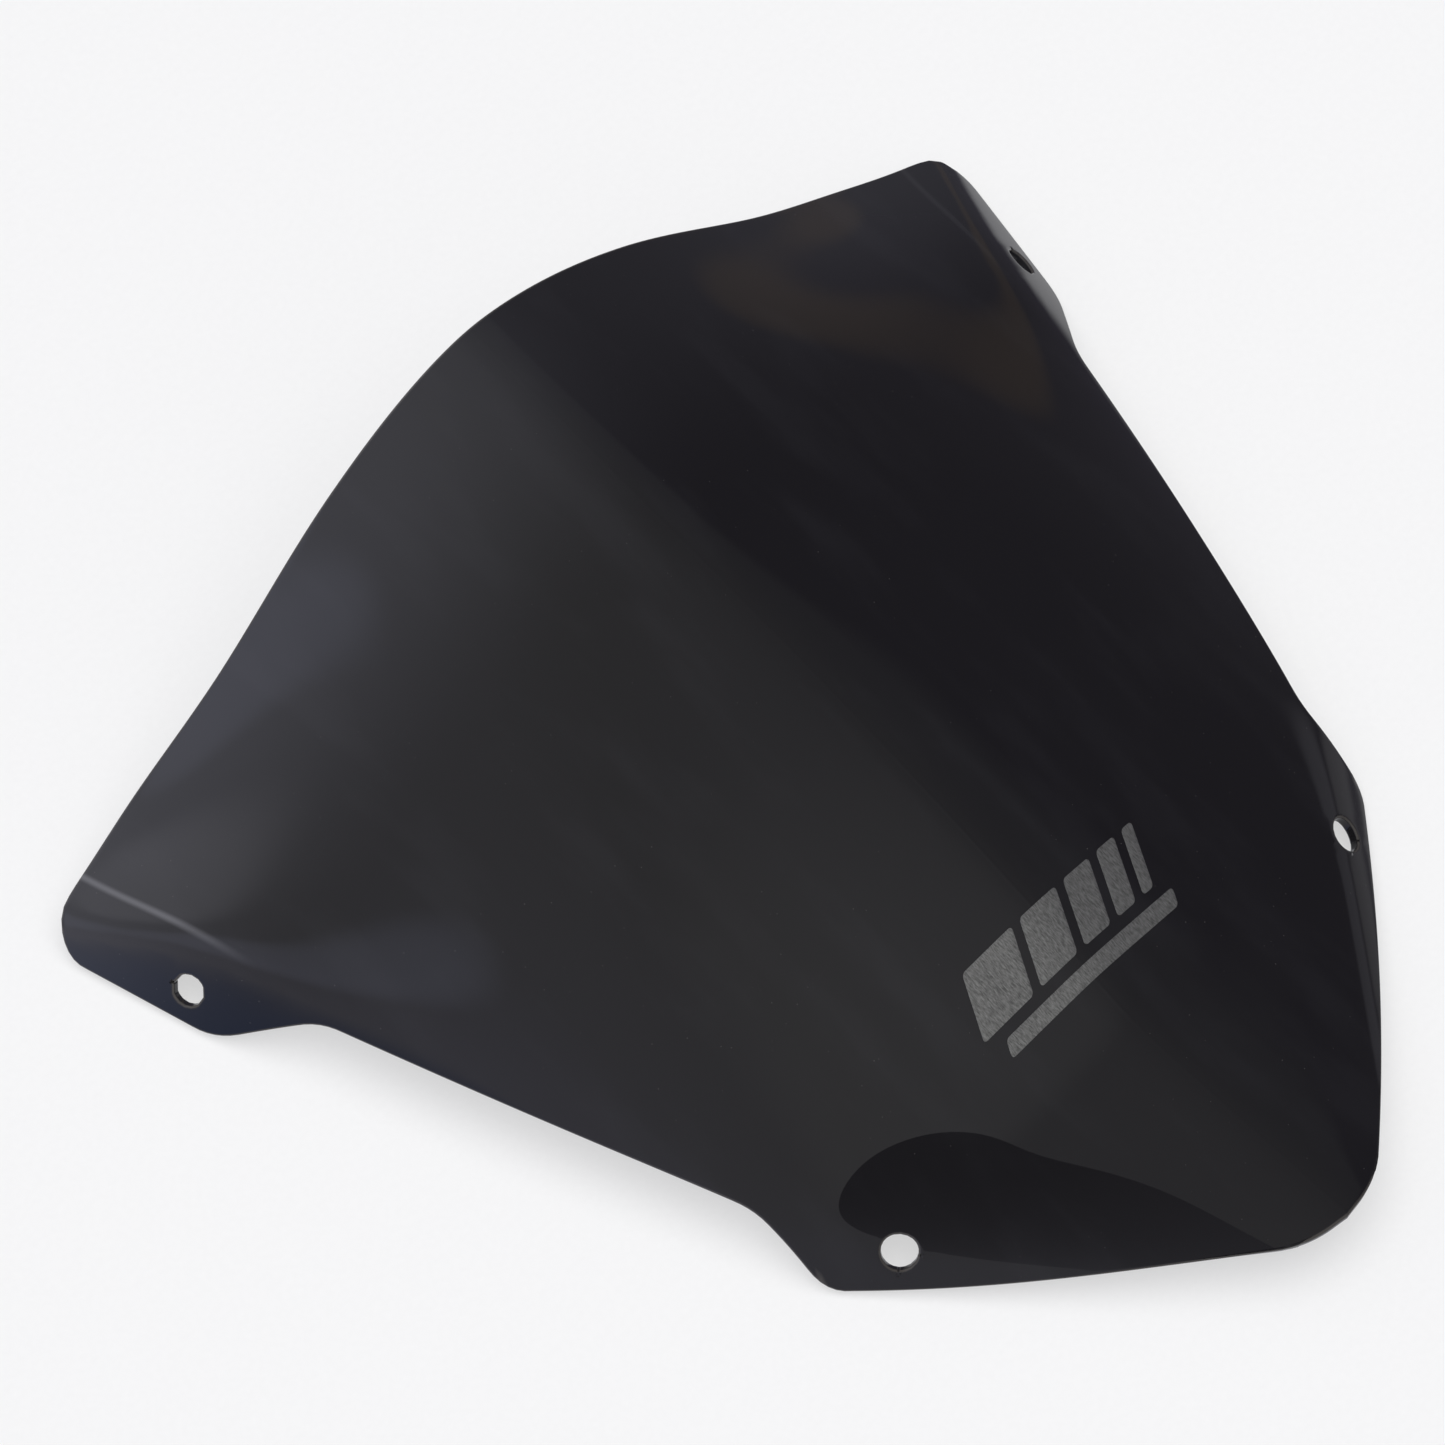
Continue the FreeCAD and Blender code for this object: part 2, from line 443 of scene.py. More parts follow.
@dataclass(frozen=True)
class SmokedAcrylic:
    """Near-black smoked cast acrylic, press-formed hot and left as glossy as it was cast.

    The eye gets a mirror-like but slightly wavy reflection, a hair-fine moulding line down the
    crease, wiping smears, dust specks, hairlines and a flame-polished edge. Light is painted
    into its colour too: a painted sheen that grows towards the tail wings and is stronger on the
    left hand, a painted highlight line at each rear fold, mostly the left, and a painted glint
    on the edges' rounding.
    """

    body: str = "19181A"
    dust: str = "8C8A86"
    # Colour of the painted sheen towards the tail wings, and of the real wiping smears.
    sheen_smear_tint: str = "8E8F98"
    # Lighter colour of the rounded edges: a painted glint.
    edge: str = "45423F"
    # Colour of the painted highlight line along the rear folds.
    fold_highlight_tint: str = "A6A6AC"
    ior: float = 1.49
    gloss_roughness: float = 0.02
    worn_roughness: float = 0.11
    wave_length: float = 70 * MM
    wave_height: float = 0.03 * MM
    draw_width: float = 16 * MM
    draw_length: float = 380 * MM
    draw_height: float = 0.02 * MM
    crease_line_width: float = 0.9 * MM
    crease_line_height: float = 0.012 * MM
    # Where the painted sheen grows along and across, and its strength on the left and right
    # hand.
    sheen_stations: tuple[float, float] = (82 * MM, 165 * MM)
    sheen_wings: tuple[float, float] = (50 * MM, 165 * MM)
    hand_blend: tuple[float, float] = (-30 * MM, 30 * MM)
    sheen_middle: tuple[float, float] = (0.085, 0.030)
    sheen_wing: tuple[float, float] = (0.135, 0.085)
    smear_share: float = 0.012
    smear_turn: float = -14.0
    smear_length: float = 64 * MM
    smear_band: tuple[float, float] = (0.48, 0.72)
    # Place, width, reach and strength on each hand of the painted fold highlight.
    fold_start: tuple[float, float] = (150.5 * MM, 97 * MM)
    fold_growth: float = 0.19
    fold_width: float = 1.5 * MM
    fold_fade: tuple[float, float] = (92 * MM, 125 * MM)
    fold_share: float = 0.26
    fold_hands: tuple[float, float] = (1.0, 0.1)
    speck_spacing: float = 3.5 * MM
    speck_ends: tuple[float, float] = (0.0275, 0.055)
    speck_strength: float = 0.35
    drift_size: float = 40 * MM
    drift_band: tuple[float, float] = (0.45, 0.75)
    hairline_width: float = 0.35 * MM
    hairline_length: float = 26 * MM
    hairline_turn: float = 12.0
    hairline_band: tuple[float, float] = (0.62, 0.80)
    hairline_strength: float = 0.6

    def make(self) -> bpy.types.Material:
        """Build the material.

        Returns:
            The finished material.
        """
        material = bpy.data.materials.new("smoked_acrylic_gloss")
        material.use_nodes = True
        tree = material.node_tree
        tree.nodes.clear()
        place = add_node(tree, "ShaderNodeTexCoord").outputs["Object"]
        specks = self.specks(tree, place)
        hairlines = self.hairlines(tree, place)
        # Painted glint: the edges' rounding gets a lighter colour.
        edge_glint = add_node(tree, "ShaderNodeAttribute", {"attribute_name": "edge_glint"}).outputs["Fac"]
        glinted = mixed(tree, edge_glint, linear(self.body), linear(self.edge))
        # Painted sheen towards the tail wings, stronger on the left, with the real wiping
        # smears.
        sheened_and_smeared = mixed(tree, self.sheen_and_smears(tree, place), glinted, linear(self.sheen_smear_tint))
        # Painted highlight: a light line along the rear folds.
        highlighted = mixed(tree, self.fold_highlight(tree, place), sheened_and_smeared, linear(self.fold_highlight_tint))
        dusty = mixed(tree, specks, highlighted, linear(self.dust))
        wear = arithmetic(tree, "MAXIMUM", specks, hairlines)
        roughness = fade(tree, wear, (0.0, 1.0), (self.gloss_roughness, self.worn_roughness),
                         smooth=False)
        shader = add_node(tree, "ShaderNodeBsdfPrincipled", None, {
            "Base Color": dusty, "Roughness": roughness, "IOR": self.ior,
            "Normal": self.relief(tree, place)})
        add_node(tree, "ShaderNodeOutputMaterial", None, {"Surface": shader.outputs["BSDF"]})
        return material

    def sheen_and_smears(self, tree: bpy.types.NodeTree,
             place: bpy.types.NodeSocket) -> bpy.types.NodeSocket:
        """Share of painted sheen, more towards the tail wings and the left, and of smears all
        over.
        """
        apart = add_node(tree, "ShaderNodeSeparateXYZ", None, {"Vector": place})
        tail = fade(tree, apart.outputs["Y"], self.sheen_stations)
        middle, wing = (fade(tree, apart.outputs["X"], self.hand_blend, hands)
                        for hands in (self.sheen_middle, self.sheen_wing))
        across = arithmetic(tree, "ABSOLUTE", apart.outputs["X"])
        wings = fade(tree, across, self.sheen_wings, (middle, wing))
        drawn = add_node(tree, "ShaderNodeMapping", None, {
            "Vector": place, "Rotation": (0.0, 0.0, math.radians(self.smear_turn)),
            "Scale": (1 / self.draw_width, 1 / self.smear_length, 1 / self.smear_length)})
        cloth = add_node(tree, "ShaderNodeTexNoise", None,
                         {"Vector": drawn.outputs[0], "Scale": 1.0, "Detail": 4.0})
        smears = fade(tree, cloth.outputs["Fac"], self.smear_band, (0.0, self.smear_share))
        return arithmetic(tree, "ADD", arithmetic(tree, "MULTIPLY", tail, wings), smears)

    def fold_highlight(self, tree: bpy.types.NodeTree,
                  place: bpy.types.NodeSocket) -> bpy.types.NodeSocket:
        """Share of a painted highlight line where the rear lugs fold, mostly the left."""
        apart = add_node(tree, "ShaderNodeSeparateXYZ", None, {"Vector": place})
        across = arithmetic(tree, "ABSOLUTE", apart.outputs["X"])
        line = arithmetic(tree, "MULTIPLY_ADD", apart.outputs["Y"], self.fold_growth,
                          self.fold_start[0] - self.fold_growth * self.fold_start[1])
        distance = arithmetic(tree, "ABSOLUTE", arithmetic(tree, "SUBTRACT", across, line))
        stripe = fade(tree, distance, (0.0, self.fold_width), (self.fold_share, 0.0))
        hand = fade(tree, apart.outputs["X"], self.hand_blend, self.fold_hands, smooth=False)
        reach = fade(tree, apart.outputs["Y"], self.fold_fade, (0.0, hand))
        return arithmetic(tree, "MULTIPLY", stripe, reach)

    def specks(self, tree: bpy.types.NodeTree,
               place: bpy.types.NodeSocket) -> bpy.types.NodeSocket:
        """Sparse dust: small dots in the cells of a Voronoi pattern, thicker in some places."""
        cells = add_node(tree, "ShaderNodeTexVoronoi", None,
                         {"Vector": place, "Scale": 1 / self.speck_spacing})
        dots = fade(tree, cells.outputs["Distance"], self.speck_ends, (1.0, 0.0), smooth=False)
        drift = add_node(tree, "ShaderNodeTexNoise", None,
                         {"Vector": place, "Scale": 1 / self.drift_size, "Detail": 3.0})
        amount = fade(tree, drift.outputs["Fac"], self.drift_band, (0.0, self.speck_strength),
                      smooth=False)
        return arithmetic(tree, "MULTIPLY", dots, amount)

    def hairlines(self, tree: bpy.types.NodeTree,
                  place: bpy.types.NodeSocket) -> bpy.types.NodeSocket:
        """Faint wiping marks: noise drawn out along the screen."""
        turned = add_node(tree, "ShaderNodeMapping", None, {
            "Vector": place, "Rotation": (0.0, 0.0, math.radians(self.hairline_turn)),
            "Scale": (1 / self.hairline_width, 1 / self.hairline_length,
                      1 / self.hairline_length)})
        lines = add_node(tree, "ShaderNodeTexNoise", None,
                         {"Vector": turned.outputs[0], "Scale": 1.0, "Detail": 2.0})
        return fade(tree, lines.outputs["Fac"], self.hairline_band,
                    (0.0, self.hairline_strength), smooth=False)

    def relief(self, tree: bpy.types.NodeTree,
               place: bpy.types.NodeSocket) -> bpy.types.NodeSocket:
        """Waves and draw marks of the hot forming, and the moulding line along the crease."""
        waves = add_node(tree, "ShaderNodeTexNoise", None,
                         {"Vector": place, "Scale": 1 / self.wave_length, "Detail": 1.0})
        wavy = add_node(tree, "ShaderNodeBump", None, {
            "Strength": 1.0, "Distance": self.wave_height, "Height": waves.outputs["Fac"]})
        drawn = add_node(tree, "ShaderNodeMapping", None, {
            "Vector": place, "Scale": (1 / self.draw_width, 1 / self.draw_length,
                                       1 / self.draw_length)})
        marks = add_node(tree, "ShaderNodeTexNoise", None,
                         {"Vector": drawn.outputs[0], "Scale": 1.0, "Detail": 2.0})
        marked = add_node(tree, "ShaderNodeBump", None, {
            "Strength": 1.0, "Distance": self.draw_height, "Height": marks.outputs["Fac"],
            "Normal": wavy.outputs[0]})
        apart = add_node(tree, "ShaderNodeSeparateXYZ", None, {"Vector": place})
        across = arithmetic(tree, "ABSOLUTE", apart.outputs["X"])
        line = fade(tree, across, (0.0, self.crease_line_width), (1.0, 0.0))
        return add_node(tree, "ShaderNodeBump", None, {
            "Strength": 1.0, "Distance": self.crease_line_height, "Height": line,
            "Normal": marked.outputs[0]}).outputs[0]


@dataclass(frozen=True)
class SilverFoil:
    """Metallised vinyl foil with a brushed, sparkling face, cut and rubbed down.

    The eye gets a mid-grey satin metal whose fine grains run along the lean of the bars.
    """

    light: str = "A9A9A6"
    dark: str = "6E6E6C"
    roughness_low: float = 0.34
    roughness_high: float = 0.55
    grain_width: float = 0.35 * MM
    grain_length: float = 1.6 * MM
    grain_turn: float = 27.0
    grain_roughness: float = 0.65
    grain_band: tuple[float, float] = (0.32, 0.68)
    gloss_band: tuple[float, float] = (0.3, 0.7)
    relief_strength: float = 0.6
    relief_height: float = 0.02 * MM
    metal_share: float = 0.85

    def make(self) -> bpy.types.Material:
        """Build the material.

        Returns:
            The finished material.
        """
        material = bpy.data.materials.new("silver_foil_brushed")
        material.use_nodes = True
        tree = material.node_tree
        tree.nodes.clear()
        place = add_node(tree, "ShaderNodeTexCoord").outputs["Object"]
        turned = add_node(tree, "ShaderNodeMapping", None, {
            "Vector": place, "Rotation": (0.0, 0.0, math.radians(self.grain_turn)),
            "Scale": (1 / self.grain_width, 1 / self.grain_length, 1 / self.grain_length)})
        grain = add_node(tree, "ShaderNodeTexNoise", None,
                         {"Vector": turned.outputs[0], "Scale": 1.0, "Detail": 3.0,
                          "Roughness": self.grain_roughness})
        share = fade(tree, grain.outputs["Fac"], self.grain_band, smooth=False)
        colour = mixed(tree, share, linear(self.dark), linear(self.light))
        roughness = fade(tree, grain.outputs["Fac"], self.gloss_band,
                         (self.roughness_high, self.roughness_low), smooth=False)
        relief = add_node(tree, "ShaderNodeBump", None, {
            "Strength": self.relief_strength, "Distance": self.relief_height,
            "Height": grain.outputs["Fac"]})
        shader = add_node(tree, "ShaderNodeBsdfPrincipled", None, {
            "Base Color": colour, "Metallic": self.metal_share, "Roughness": roughness,
            "Normal": relief.outputs[0]})
        add_node(tree, "ShaderNodeOutputMaterial", None, {"Surface": shader.outputs["BSDF"]})
        return material


@dataclass(frozen=True)
class PaleFloor:
    """White opal glass of a light table: its glow keeps the shadows on it pale.

    The eye gets an even white with a barely visible tooth.
    """

    light: str = "A6A6A6"
    dark: str = "A0A0A0"
    glow: str = "FFFFFF"
    glow_strength: float = 0.58
    roughness: float = 0.9
    specular: float = 0.1
    tooth_size: float = 2 * MM

    def make(self) -> bpy.types.Material:
        """Build the material.

        Returns:
            The finished material.
        """
        material = bpy.data.materials.new("floor_opal_white")
        material.use_nodes = True
        tree = material.node_tree
        tree.nodes.clear()
        place = add_node(tree, "ShaderNodeTexCoord").outputs["Object"]
        tooth = add_node(tree, "ShaderNodeTexNoise", None,
                         {"Vector": place, "Scale": 1 / self.tooth_size, "Detail": 2.0})
        colour = mixed(tree, tooth.outputs["Fac"], linear(self.dark), linear(self.light))
        shader = add_node(tree, "ShaderNodeBsdfPrincipled", None, {
            "Base Color": colour, "Roughness": self.roughness,
            "Specular IOR Level": self.specular, "Emission Color": linear(self.glow),
            "Emission Strength": self.glow_strength})
        add_node(tree, "ShaderNodeOutputMaterial", None, {"Surface": shader.outputs["BSDF"]})
        return material


@dataclass(frozen=True)
class GreyCard:
    """Dark card that fades to a mid grey towards the front left, for the gloss to mirror.

    Attributes:
        tint: colour of its glow.
        dark: its glow at the start of the fade.
        pale: its glow at the end of the fade.
        fade_way: plan direction of the fade.
        fade_ends: distances along that direction between which it fades, in metres.
    """

    tint: str = "F0F0FF"
    dark: float = 0.05
    pale: float = 0.42
    fade_way: tuple[float, float, float] = (-0.5, -0.87, 0.0)
    fade_ends: tuple[float, float] = (0.105, 0.20)

    def make(self) -> bpy.types.Material:
        """Build the material.

        Returns:
            The finished material.
        """
        material = bpy.data.materials.new("card_faded_grey")
        material.use_nodes = True
        tree = material.node_tree
        tree.nodes.clear()
        place = add_node(tree, "ShaderNodeTexCoord").outputs["Object"]
        along = add_node(tree, "ShaderNodeVectorMath", {"operation": "DOT_PRODUCT"},
                         {0: place, 1: self.fade_way})
        glow = fade(tree, along.outputs["Value"], self.fade_ends, (self.dark, self.pale),
                    smooth=False)
        shader = add_node(tree, "ShaderNodeEmission", None,
                          {"Color": linear(self.tint), "Strength": glow})
        add_node(tree, "ShaderNodeOutputMaterial", None, {"Surface": shader.outputs[0]})
        return material


# ---- Sub-assemblies --------------------------------------------------------------------------

@dataclass
class ScreenSheet:
    """The formed, trimmed and drilled acrylic sheet; sizes in mm."""

    surface: FormedSurface
    outline: Outline
    thickness: float = 3.0
    edge_rounding: float = 0.7
    half_columns: int = 88
    rows: int = 160
    crease_closeness: float = 0.4
    cleared_round_hole: float = 1.45
    hole_rings: tuple[float, ...] = (1.25, 1.0)
    sharp_angle: float = 55.0
    # Depth below the outer face, in mm, where the painted edge glint starts.
    edge_glint_start: float = 0.03

    def build(self, material: bpy.types.Material) -> bpy.types.Object:
        """Make the sheet in the surface's own frame.

        Args:
            material: the sheet's finish.

        Returns:
            The sheet's object.
        """
        shape = bmesh.new()
        bmesh.ops.create_grid(shape, x_segments=2 * self.half_columns, y_segments=self.rows,
                              size=1.0)
        nose_edge, side_edge, tail_edge = (Path2D(edge) for edge in self.outline.half())
        for vert in shape.verts:
            place = self.plan_place(vert.co.x, vert.co.y, nose_edge, side_edge, tail_edge)
            vert.co = self.surface.point(place.x, place.y)
        for lug in self.surface.lugs:
            for side in Side:
                self.drill(shape, lug, side)
        self.thicken(shape)
        self.round_edges(shape)
        # Mark the edges' rounding, where the material paints a lighter glint.
        edge_glint_layer = shape.verts.layers.float.new("edge_glint")
        for vert in shape.verts:
            vert[edge_glint_layer] = self.edge_glint_share(vert.co)
        sheet = finished_object(shape, "screen_sheet", material)
        weighting = sheet.modifiers.new("even_normals", "WEIGHTED_NORMAL")
        weighting.mode = "FACE_AREA"
        weighting.keep_sharp = False
        return sheet

    def plan_place(self, u: float, v: float, nose_edge: Path2D, side_edge: Path2D,
                   tail_edge: Path2D) -> Vector:
        """Plan place of a grid point, so that the grid's border lies on the outline.

        Args:
            u: -1 at the left border, 1 at the right.
            v: -1 at the nose, 1 at the tail.
            nose_edge: half nose edge, centre to corner.
            side_edge: side edge, nose to tail.
            tail_edge: half tail edge, corner to centre.

        Returns:
            Plan place in mm.
        """
        across = abs(u)
        across = self.crease_closeness * across + (1 - self.crease_closeness) * across ** 2
        along = (v + 1) / 2
        nose, tail = nose_edge.at(across), tail_edge.at(1 - across)
        centre = nose_edge.at(0).lerp(tail_edge.at(1), along)
        between = centre.lerp(side_edge.at(along), across) + nose.lerp(tail, along)
        near = nose_edge.at(0).lerp(nose_edge.at(1), across)
        far = tail_edge.at(1).lerp(tail_edge.at(0), across)
        place = between - near.lerp(far, along)
        place.x = math.copysign(place.x, u)
        return place

    def drill(self, shape: bmesh.types.BMesh, lug: Lug, side: Side) -> None:
        """Cut one fixing hole and ring it with round rows of faces.

        Args:
            shape: the single-walled sheet.
            lug: the lug that has the hole.
            side: the hand of the lug.
        """
        centre = self.surface.point(side.value * lug.place[0], lug.place[1])
        axis = self.surface.normal(centre.x, centre.y)
        across = axis.orthogonal().normalized()
        upward = axis.cross(across)
        radius = lug.hole / 2
        border = {edge for edge in shape.edges if edge.is_boundary}
        inside = [face for face in shape.faces
                  if (face.calc_center_median() - centre).length
                  < self.cleared_round_hole * radius]
        bmesh.ops.delete(shape, geom=inside, context="FACES")
        ring = [edge for edge in shape.edges if edge.is_boundary and edge not in border]
        verts = {vert for edge in ring for vert in edge.verts}
        outer = sum((vert.co - centre).length for vert in verts) / len(verts)
        for ring_radius in (outer, *(share * radius for share in self.hole_rings)):
            if ring_radius != outer:
                grown = bmesh.ops.extrude_edge_only(shape, edges=ring)["geom"]
                ring = [item for item in grown if isinstance(item, bmesh.types.BMEdge)
                        and item.is_boundary]
                verts = {vert for edge in ring for vert in edge.verts}
            for vert in verts:
                offset = vert.co - centre
                angle = math.atan2(offset.dot(upward), offset.dot(across))
                place = centre + ring_radius * (
                    math.cos(angle) * across + math.sin(angle) * upward)
                vert.co = self.surface.point(place.x, place.y)

    def thicken(self, shape: bmesh.types.BMesh) -> None:
        """Give the sheet its inner wall, a sheet's thickness below, and its edge walls."""
        bmesh.ops.recalc_face_normals(shape, faces=shape.faces)
        if sum(face.normal.z for face in shape.faces) < 0:
            bmesh.ops.reverse_faces(shape, faces=shape.faces)
        grown = bmesh.ops.extrude_face_region(shape, geom=shape.faces[:], use_keep_orig=True)
        for vert in grown["geom"]:
            if isinstance(vert, bmesh.types.BMVert):
                vert.co -= self.thickness * self.surface.normal(vert.co.x, vert.co.y)
        bmesh.ops.recalc_face_normals(shape, faces=shape.faces)

    def round_edges(self, shape: bmesh.types.BMesh) -> None:
        """Round the outline's and the holes' edges, as flame polishing leaves them."""
        limit = math.radians(self.sharp_angle)
        sharp = [edge for edge in shape.edges if edge.calc_face_angle(0.0) > limit]
        bmesh.ops.bevel(shape, geom=sharp, offset=self.edge_rounding, offset_type="OFFSET",
                        segments=3, profile=0.5, affect="EDGES", material=-1,
                        clamp_overlap=False)

    def edge_glint_share(self, place: Vector) -> float:
        """1 on the rounding of the outer edge, where a lighter glint is painted, 0 elsewhere."""
        depth = (self.surface.point(place.x, place.y) - place).dot(
            self.surface.normal(place.x, place.y))
        return 1.0 if self.edge_glint_start < depth < self.edge_rounding else 0.0


@dataclass
class FoilMark:
    """The foil mark on the outside of the nose: leaning bars over a long strip; sizes in mm."""

    surface: FormedSurface
    thickness: float = 0.15
    corner_radius: float = 1.2
    lean: float = 0.5
    bar_widths: tuple[float, ...] = (19.0, 14.0, 10.0, 7.0, 4.0)
    bar_gap: float = 3.0
    bar_bottom: float = -64.0
    bar_height: float = 16.0
    bars_left_end: float = -35.0
    strip_place: tuple[float, float] = (-32.0, -71.5)
    strip_size: tuple[float, float] = (65.0, 4.5)
    cell: float = 1.5

    def build(self, material: bpy.types.Material) -> dict[str, bpy.types.Object]:
        """Make the mark's pieces in the surface's own frame.

        Args:
            material: the foil's finish.

        Returns:
            The pieces by the node that each stands for.
        """
        pieces = {}
        left = self.bars_left_end
        for number, width in enumerate(self.bar_widths, start=1):
            node = f"foil_bar_{number}"
            pieces[node] = self.patch(node, (left, self.bar_bottom), (width, self.bar_height),
                                      material)
            left += width + self.bar_gap
        pieces["foil_strip"] = self.patch("foil_strip", self.strip_place, self.strip_size,
                                          material)
        return pieces

    def patch(self, node: str, place: tuple[float, float], size: tuple[float, float],
              material: bpy.types.Material) -> bpy.types.Object:
        """Make one leaning bar with rounded corners, laid on the surface.

        Args:
            node: the node that the piece stands for.
            place: left and bottom ends of the bar's lower side.
            size: width and height of the bar.
            material: the foil's finish.

        Returns:
            The piece's object.
        """
        width, height = size
        shape = bmesh.new()
        bmesh.ops.create_grid(shape, x_segments=1, y_segments=1, size=0.5)
        leaning = Matrix(((1, self.lean, 0, 0), (0, 1, 0, 0), (0, 0, 1, 0), (0, 0, 0, 1)))
        centre = Vector((place[0] + (width + self.lean * height) / 2, place[1] + height / 2, 0))
        bmesh.ops.transform(shape, verts=shape.verts, matrix=(
            Matrix.Translation(centre) @ leaning @ Matrix.Diagonal((width, height, 1, 1))))
        bmesh.ops.bevel(shape, geom=shape.verts[:], offset=self.corner_radius,
                        offset_type="OFFSET", segments=5, profile=0.5, affect="VERTICES",
                        material=-1, clamp_overlap=True)
        self.slice(shape, centre, (width + self.lean * height, height))
        for vert in shape.verts:
            vert.co = self.surface.point(vert.co.x, vert.co.y)
        grown = bmesh.ops.extrude_face_region(shape, geom=shape.faces[:], use_keep_orig=True)
        for vert in grown["geom"]:
            if isinstance(vert, bmesh.types.BMVert):
                vert.co += self.thickness * self.surface.normal(vert.co.x, vert.co.y)
        bmesh.ops.recalc_face_normals(shape, faces=shape.faces)
        piece = finished_object(shape, f"{node}_film", material)
        weighting = piece.modifiers.new("even_normals", "WEIGHTED_NORMAL")
        weighting.keep_sharp = False
        return piece

    def slice(self, shape: bmesh.types.BMesh, centre: Vector,
              extent: tuple[float, float]) -> None:
        """Cut the flat bar into small cells, so that it can follow the surface.

        Args:
            shape: the flat bar.
            centre: middle of the bar.
            extent: its whole width and height.
        """
        for direction, length in zip((Vector((1, 0, 0)), Vector((0, 1, 0))), extent):
            cuts = int(length / self.cell)
            for step in range(1, cuts):
                offset = length * (step / cuts - 0.5)
                bmesh.ops.bisect_plane(
                    shape, geom=shape.verts[:] + shape.edges[:] + shape.faces[:],
                    dist=1e-5, plane_co=centre + direction * offset, plane_no=direction)


# ---- Studio ----------------------------------------------------------------------------------

@dataclass(frozen=True)
class Glow:
    """Soft bright patch of the room, as a window or a lit wall makes it.

    Attributes:
        way: direction of its middle.
        reach: angle from the middle where it ends, in degrees.
        core: angle from the middle where it is at its full strength, in degrees.
        colour: light that it adds.
    """

    way: tuple[float, float, float]
    reach: float
    core: float
    colour: tuple[float, float, float]


@dataclass(frozen=True)
class Room:
    """The light around the screen: bright on the left and overhead, dim on the right.

    Attributes:
        stops: light for each share of the way from left (-1) to right (1).
        table: light of the pale table, seen below table_ends.
        table_ends: upward shares of the directions below which only the table shows, and
            above which it doesn't show.
        glows: the room's bright patches.
    """

    stops: tuple[tuple[float, tuple[float, float, float]], ...] = (
        (-1.0, (0.24, 0.33, 0.62)), (-0.97, (0.34, 0.39, 0.60)), (-0.92, (0.58, 0.58, 0.70)),
        (-0.65, (0.46, 0.46, 0.50)), (-0.4, (0.42, 0.42, 0.44)), (-0.1, (0.34, 0.34, 0.34)),
        (0.15, (0.33, 0.33, 0.34)), (0.30, (0.26, 0.26, 0.27)), (0.42, (0.20, 0.20, 0.21)),
        (0.54, (0.14, 0.14, 0.16)), (0.56, (0.06, 0.055, 0.08)), (0.85, (0.07, 0.065, 0.09)),
        (1.0, (0.10, 0.095, 0.12)))
    table: tuple[float, float, float] = (0.56, 0.56, 0.58)
    table_ends: tuple[float, float] = (-0.52, -0.36)
    glows: tuple[Glow, ...] = (
        Glow(way=(-0.72, 0.20, 0.67), reach=14.0, core=0.5, colour=(0.25, 0.27, 0.38)),
        Glow(way=(-0.16, 0.70, 0.70), reach=27.0, core=4.0, colour=(0.40, 0.40, 0.45)),
        Glow(way=(0.00, -0.55, 0.83), reach=32.0, core=5.0, colour=(0.15, 0.15, 0.15)),
        Glow(way=(0.95, -0.22, 0.18), reach=13.0, core=4.0, colour=(0.22, 0.22, 0.24)),
        Glow(way=(0.95, -0.18, -0.20), reach=13.0, core=4.0, colour=(0.22, 0.22, 0.22)),
        Glow(way=(0.94, 0.34, 0.06), reach=8.0, core=1.0, colour=(0.10, 0.065, 0.02)),
    )

    def make(self) -> bpy.types.World:
        """Build the world.

        Returns:
            The finished world.
        """
        world = bpy.data.worlds.new("studio_room")
        world.use_nodes = True
        tree = world.node_tree
        tree.nodes.clear()
        way = add_node(tree, "ShaderNodeTexCoord").outputs["Generated"]
        apart = add_node(tree, "ShaderNodeSeparateXYZ", None, {"Vector": way})
        share = fade(tree, apart.outputs["X"], (-1.0, 1.0), smooth=False)
        ramp = add_node(tree, "ShaderNodeValToRGB", None, {"Fac": share})
        elements = ramp.color_ramp.elements
        while len(elements) < len(self.stops):
            elements.new(0.5)
        for element, (x, colour) in zip(elements, self.stops):
            element.position = (x + 1) / 2
            element.color = (*colour, 1.0)
        low = fade(tree, apart.outputs["Z"], self.table_ends, (1.0, 0.0))
        light = mixed(tree, low, ramp.outputs["Color"], (*self.table, 1.0))
        for glow in self.glows:
            light = self.add_glow(tree, way, glow, light)
        background = add_node(tree, "ShaderNodeBackground", None,
                              {"Color": light, "Strength": 1.0})
        add_node(tree, "ShaderNodeOutputWorld", None, {"Surface": background.outputs[0]})
        return world

    @staticmethod
    def add_glow(tree: bpy.types.NodeTree, way: bpy.types.NodeSocket, glow: Glow,
                 light: bpy.types.NodeSocket) -> bpy.types.NodeSocket:
        """Add one glow to the light so far.

        Args:
            tree: the world's node tree.
            way: the direction that is lit.
            glow: the bright patch.
            light: the light so far.

        Returns:
            The sum.
        """
        facing = add_node(tree, "ShaderNodeVectorMath", {"operation": "DOT_PRODUCT"},
                          {0: way, 1: Vector(glow.way).normalized()})
        strength = add_node(tree, "ShaderNodeMapRange", {"interpolation_type": "SMOOTHERSTEP"}, {
            "Value": facing.outputs["Value"], "From Min": math.cos(math.radians(glow.reach)),
            "From Max": math.cos(math.radians(glow.core))})
        return add_node(tree, "ShaderNodeMix",
                        {"data_type": "RGBA", "blend_type": "ADD", "clamp_result": False},
                        {0: strength.outputs["Result"], 6: light,
                         7: (*glow.colour, 1.0)}).outputs[2]


